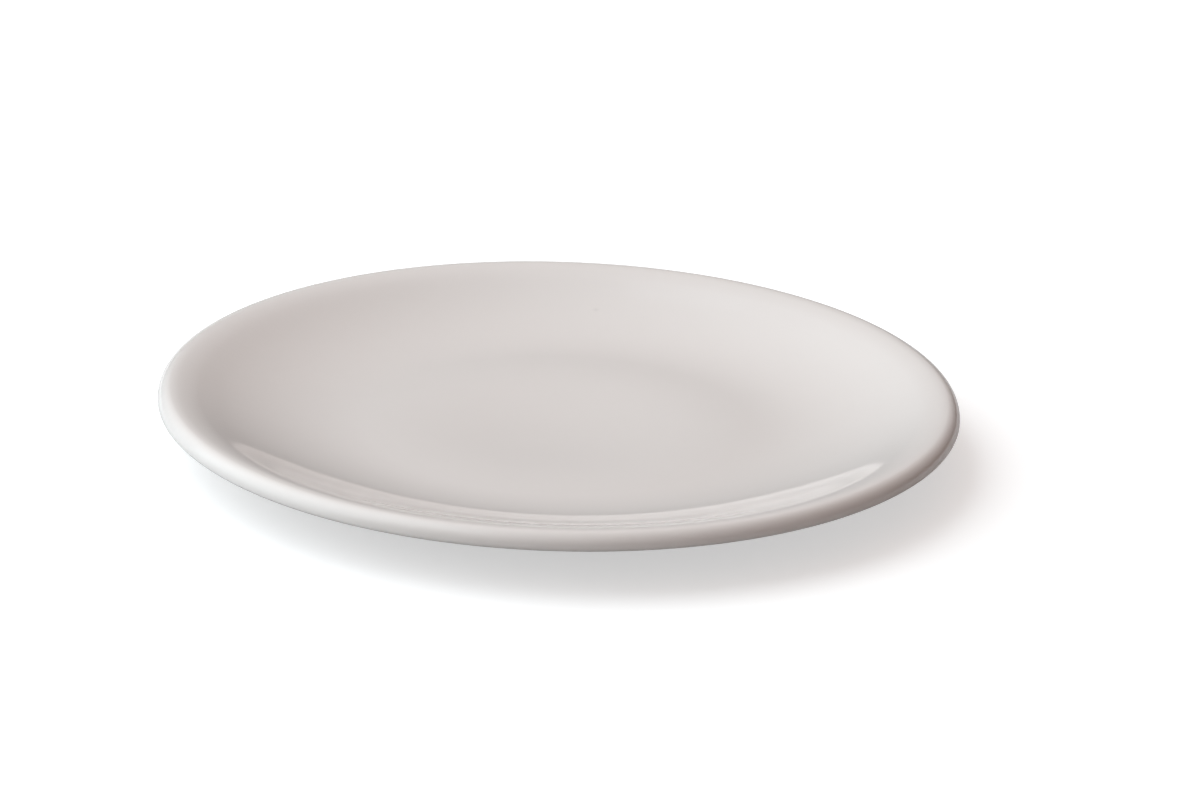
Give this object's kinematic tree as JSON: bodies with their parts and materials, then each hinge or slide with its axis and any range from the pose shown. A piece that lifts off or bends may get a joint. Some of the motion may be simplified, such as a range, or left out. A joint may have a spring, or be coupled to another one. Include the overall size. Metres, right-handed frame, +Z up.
{
  "type": "coupe plate",
  "caption": "Round coupe plate of off-white glazed porcelain: a flat well curving up without a flange to a rounded edge, standing on a bare foot ring.",
  "frame": {"origin": "centre of the plate at the height of the foot ring's standing face", "axes": "+Z up along the plate's axis of revolution; X and Y across the plate, alike all round"},
  "size_m": [0.27, 0.27, 0.0224],
  "materials": {
    "porcelain": "bare fired porcelain, matt with a fine grain",
    "glaze": "glossy clear glaze over a warm off-white body",
    "recess_glaze": "glossy clear glaze, a little thicker and less even than on the face"
  },
  "bodies": {
    "root": {"porcelain_body": "porcelain", "glaze_coat": "glaze", "foot_recess_glaze": "recess_glaze"}
  },
  "joints": []
}
